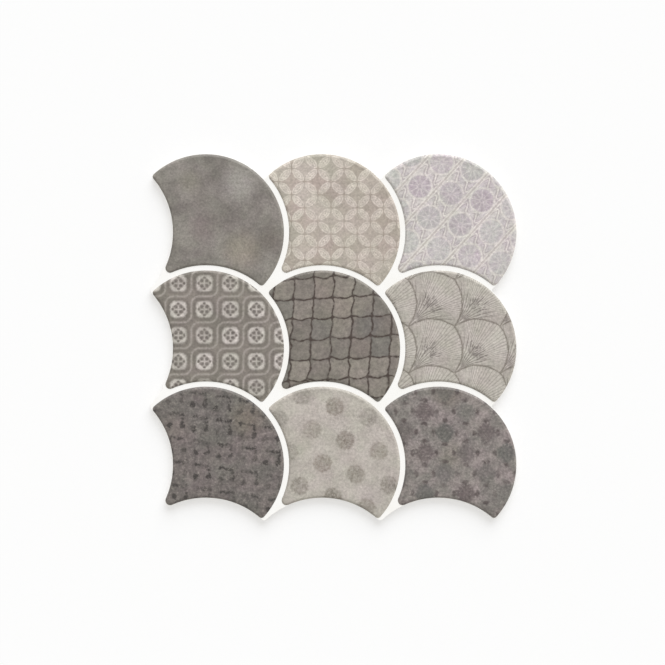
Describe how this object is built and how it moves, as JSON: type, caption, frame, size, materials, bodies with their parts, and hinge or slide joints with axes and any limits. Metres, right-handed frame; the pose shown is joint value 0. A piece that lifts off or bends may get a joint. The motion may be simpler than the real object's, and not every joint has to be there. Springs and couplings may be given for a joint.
{
  "type": "fish scale tile",
  "caption": "Porcelain wall or floor tile with raised fan-shaped scales in grey and beige prints, recessed white joints and a scalloped edge that nests into the next tile.",
  "frame": {"origin": "on the back plane, under the centre of the middle scale's circle", "axes": "+Z out of the face, +X and +Y towards the two sides that carry crowns, so the scales' tails point to -X -Y"},
  "size_m": [0.3229, 0.3229, 0.009],
  "materials": {
    "glazed_face": "satin glaze over printed decoration"
  },
  "bodies": {
    "root": {"scale_tile": "glazed_face"}
  },
  "joints": []
}
